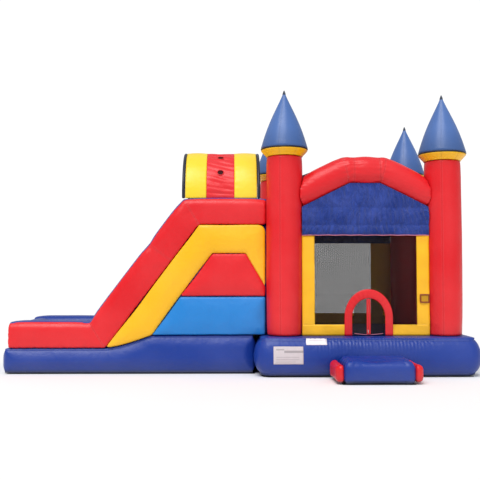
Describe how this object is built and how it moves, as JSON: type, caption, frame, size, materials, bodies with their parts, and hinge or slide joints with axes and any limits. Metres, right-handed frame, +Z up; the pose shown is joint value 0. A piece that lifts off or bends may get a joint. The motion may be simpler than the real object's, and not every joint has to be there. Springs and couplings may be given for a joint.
{
  "type": "inflatable bounce house",
  "caption": "Inflatable bounce castle with corner towers, netted bounce chamber, zip door, entrance step and a hooded side slide.",
  "frame": {"origin": "centre of the castle base's underside, on the ground", "axes": "+X from the slide towards the castle, +Y from the entrance to the rear, +Z up"},
  "size_m": [8.579, 5.756, 5.18],
  "materials": {
    "red_vinyl": "coated PVC vinyl, soft gloss",
    "blue_vinyl": "coated PVC vinyl, soft gloss",
    "spire_vinyl": "coated PVC vinyl, soft gloss",
    "light_blue_vinyl": "coated PVC vinyl, soft gloss",
    "yellow_vinyl": "coated PVC vinyl, soft gloss",
    "navy_trim": "coated PVC vinyl, soft gloss",
    "netting": "open woven safety netting, matt",
    "black_webbing": "woven webbing and tough coated sheet, matt",
    "white_vinyl": "plain coated sheet, matt",
    "zip_metal": "die-cast nickel finish",
    "ring_steel": "welded zinc-plated steel"
  },
  "bodies": {
    "castle": {"anchor_tabs": "black_webbing", "arch_front": "red_vinyl", "arch_rear": "red_vinyl", "blower_sleeve": "blue_vinyl", "border_front": "yellow_vinyl", "borders_rear_and_sides": "yellow_vinyl", "bounce_floor": "blue_vinyl", "castle_base": "blue_vinyl", "climb_handles": "black_webbing", "climb_rungs": "red_vinyl", "climb_wall": "blue_vinyl", "deflation_zip": "black_webbing", "door_frame": "red_vinyl", "end_bumper": "blue_vinyl", "hood_red_panel": "red_vinyl", "hood_rims": "navy_trim", "hood_yellow_panels": "yellow_vinyl", "internal_baffles": "white_vinyl", "label_patches": "white_vinyl", "netting_front": "netting", "netting_rear_and_side": "netting", "rail_front": "red_vinyl", "rail_rear": "red_vinyl", "roof_panels": "blue_vinyl", "side_beams": "red_vinyl", "sleeve_strap": "black_webbing", "slide_base": "blue_vinyl", "slide_bed": "blue_vinyl", "slide_body": "blue_vinyl", "slide_side_bands": "yellow_vinyl", "slide_side_blue_panels": "light_blue_vinyl", "slide_side_red_panels": "red_vinyl", "spire_front_left": "spire_vinyl", "spire_front_right": "spire_vinyl", "spire_rear_left": "spire_vinyl", "spire_rear_right": "spire_vinyl", "step_body": "blue_vinyl", "step_ends": "red_vinyl", "tower_collars": "yellow_vinyl", "tower_front_left": "red_vinyl", "tower_front_right": "red_vinyl", "tower_rear_left": "red_vinyl", "tower_rear_right": "red_vinyl", "valances": "blue_vinyl", "wear_sheets": "black_webbing"},
    "left_door_flap": {"door_flap_left": "netting", "door_tape_left": "red_vinyl"},
    "right_door_flap": {"door_flap_right": "netting", "door_tape_right": "red_vinyl"},
    "door_slider": {"door_zip_slider": "zip_metal"},
    "door_pull": {"door_pull_tab": "zip_metal"},
    "deflation_zip_slider": {"deflation_slider": "zip_metal"},
    "deflation_pull": {"deflation_pull_tab": "zip_metal"},
    "deflation_flap": {"deflation_cover": "black_webbing"},
    "ring_right_front": {"anchor_ring_right_front": "ring_steel"},
    "ring_right_rear": {"anchor_ring_right_rear": "ring_steel"},
    "ring_rear_left": {"anchor_ring_rear_left": "ring_steel"},
    "ring_rear_right": {"anchor_ring_rear_right": "ring_steel"},
    "ring_slide_front": {"anchor_ring_slide_front": "ring_steel"},
    "ring_slide_rear": {"anchor_ring_slide_rear": "ring_steel"}
  },
  "joints": [
    {"name": "left_flap_hinge", "type": "hinge", "parent": "castle", "child": "left_door_flap", "pos_m": [-0.245, -1.6005, 1.1], "axis": [0, 0, -1], "range_deg": [-70, 90]},
    {"name": "right_flap_hinge", "type": "hinge", "parent": "castle", "child": "right_door_flap", "pos_m": [0.335, -1.6005, 1.1], "axis": [0, 0, 1], "range_deg": [-70, 90]},
    {"name": "door_zip_slide", "type": "slide", "parent": "left_door_flap", "child": "door_slider", "axis": [0, 0, 1], "range_m": [0, 0.53]},
    {"name": "door_pull_hinge", "type": "hinge", "parent": "door_slider", "child": "door_pull", "pos_m": [0.035, -1.6209, 0.79], "axis": [-1, 0, 0], "range_deg": [-4, 160]},
    {"name": "deflation_zip_slide", "type": "slide", "parent": "castle", "child": "deflation_zip_slider", "axis": [1, 0, 0], "range_m": [0, 0.88]},
    {"name": "deflation_pull_hinge", "type": "hinge", "parent": "deflation_zip_slider", "child": "deflation_pull", "pos_m": [-0.44, 1.9959, 0.36], "axis": [1, 0, 0], "range_deg": [-4, 160]},
    {"name": "deflation_cover_hinge", "type": "hinge", "parent": "castle", "child": "deflation_flap", "pos_m": [0.08, 2.0135, 0.432], "axis": [1, 0, 0], "range_deg": [0, 150]},
    {"name": "right_front_ring_hinge", "type": "hinge", "parent": "castle", "child": "ring_right_front", "pos_m": [1.992, -1.3, 0.075], "axis": [0, -1, 0], "range_deg": [-6, 150]},
    {"name": "right_rear_ring_hinge", "type": "hinge", "parent": "castle", "child": "ring_right_rear", "pos_m": [1.992, 1.3, 0.075], "axis": [0, -1, 0], "range_deg": [-6, 150]},
    {"name": "rear_left_ring_hinge", "type": "hinge", "parent": "castle", "child": "ring_rear_left", "pos_m": [-1.3, 1.992, 0.075], "axis": [1, 0, 0], "range_deg": [-6, 150]},
    {"name": "rear_right_ring_hinge", "type": "hinge", "parent": "castle", "child": "ring_rear_right", "pos_m": [1.45, 1.992, 0.075], "axis": [1, 0, 0], "range_deg": [-6, 150]},
    {"name": "slide_front_ring_hinge", "type": "hinge", "parent": "castle", "child": "ring_slide_front", "pos_m": [-6.569, -1.05, 0.075], "axis": [0, 1, 0], "range_deg": [-6, 150]},
    {"name": "slide_rear_ring_hinge", "type": "hinge", "parent": "castle", "child": "ring_slide_rear", "pos_m": [-6.569, 0.37, 0.075], "axis": [0, 1, 0], "range_deg": [-6, 150]}
  ]
}
